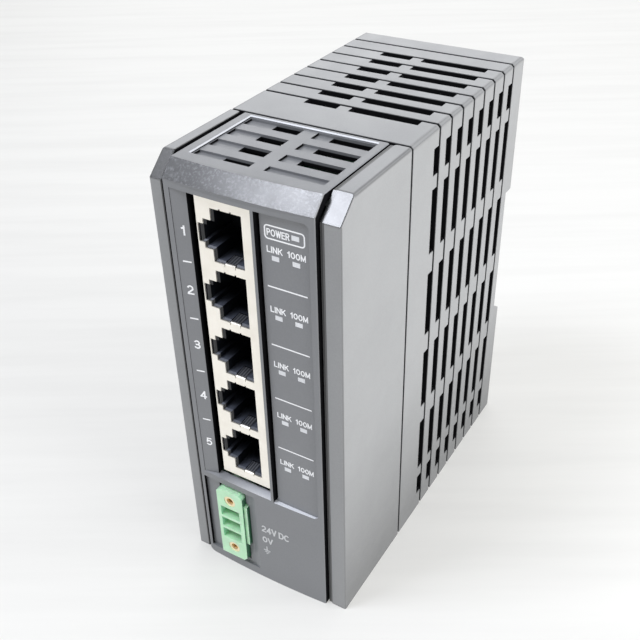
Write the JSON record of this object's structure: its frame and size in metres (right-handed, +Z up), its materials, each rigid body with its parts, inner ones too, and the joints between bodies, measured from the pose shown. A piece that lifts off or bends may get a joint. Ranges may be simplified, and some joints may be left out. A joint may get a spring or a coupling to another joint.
{
  "type": "din rail ethernet switch",
  "caption": "Narrow upright network switch with a column of stacked sockets, a plug-in power header, a ribbed vented case and a sprung rail latch.",
  "frame": {"origin": "middle of the flat base, halfway across the case and halfway from its rear face to the nose of the front panel", "axes": "+Z up along the case, -Y out of the front with the sockets, +Y towards the rail, +X to the right seen from the front"},
  "size_m": [0.0436, 0.0908, 0.1085],
  "materials": {
    "case_plastic": "matt",
    "panel_plastic": "fine texture",
    "shield_plate": "tin plated",
    "socket_plastic": "matt",
    "gold_contact": "gold plated",
    "header_green": "satin",
    "insert_brass": "turned",
    "tinned_pin": "tinned",
    "board_green": "solder mask",
    "chip_black": "matt",
    "crystal_can": "satin",
    "capacitor_can": "satin",
    "core_yellow": "tape",
    "led_body": "gloss",
    "light_pipe": "frosted",
    "spring_steel": "bright"
  },
  "bodies": {
    "case": {"front_cover": "case_plastic", "front_panel": "panel_plastic", "rear_housing": "case_plastic", "latch_spring": "spring_steel", "port_shield": "shield_plate", "port_housing": "socket_plastic", "port_contacts": "gold_contact", "power_header": "header_green", "header_inserts": "insert_brass", "header_pins": "tinned_pin", "main_board": "board_green", "power_board": "board_green", "led_board": "board_green", "status_leds": "led_body", "light_guide": "light_pipe", "magnetics_1": "chip_black", "magnetics_2": "chip_black", "magnetics_3": "chip_black", "magnetics_4": "chip_black", "magnetics_5": "chip_black", "switch_chip": "chip_black", "memory_chip": "chip_black", "crystal": "crystal_can", "output_capacitor": "capacitor_can", "board_link": "socket_plastic", "input_capacitor": "capacitor_can", "transformer": "core_yellow", "choke": "chip_black", "fuse": "led_body", "diode_bridge": "chip_black", "regulator": "chip_black"},
    "latch": {"rail_latch": "case_plastic"}
  },
  "joints": [
    {"name": "latch_slide", "type": "slide", "parent": "case", "child": "latch", "axis": [0, 0, -1], "range_m": [0, 0.0026], "stiffness_N_per_m": 800, "springref_m": -0.002, "deforming": ["latch_spring"]}
  ]
}
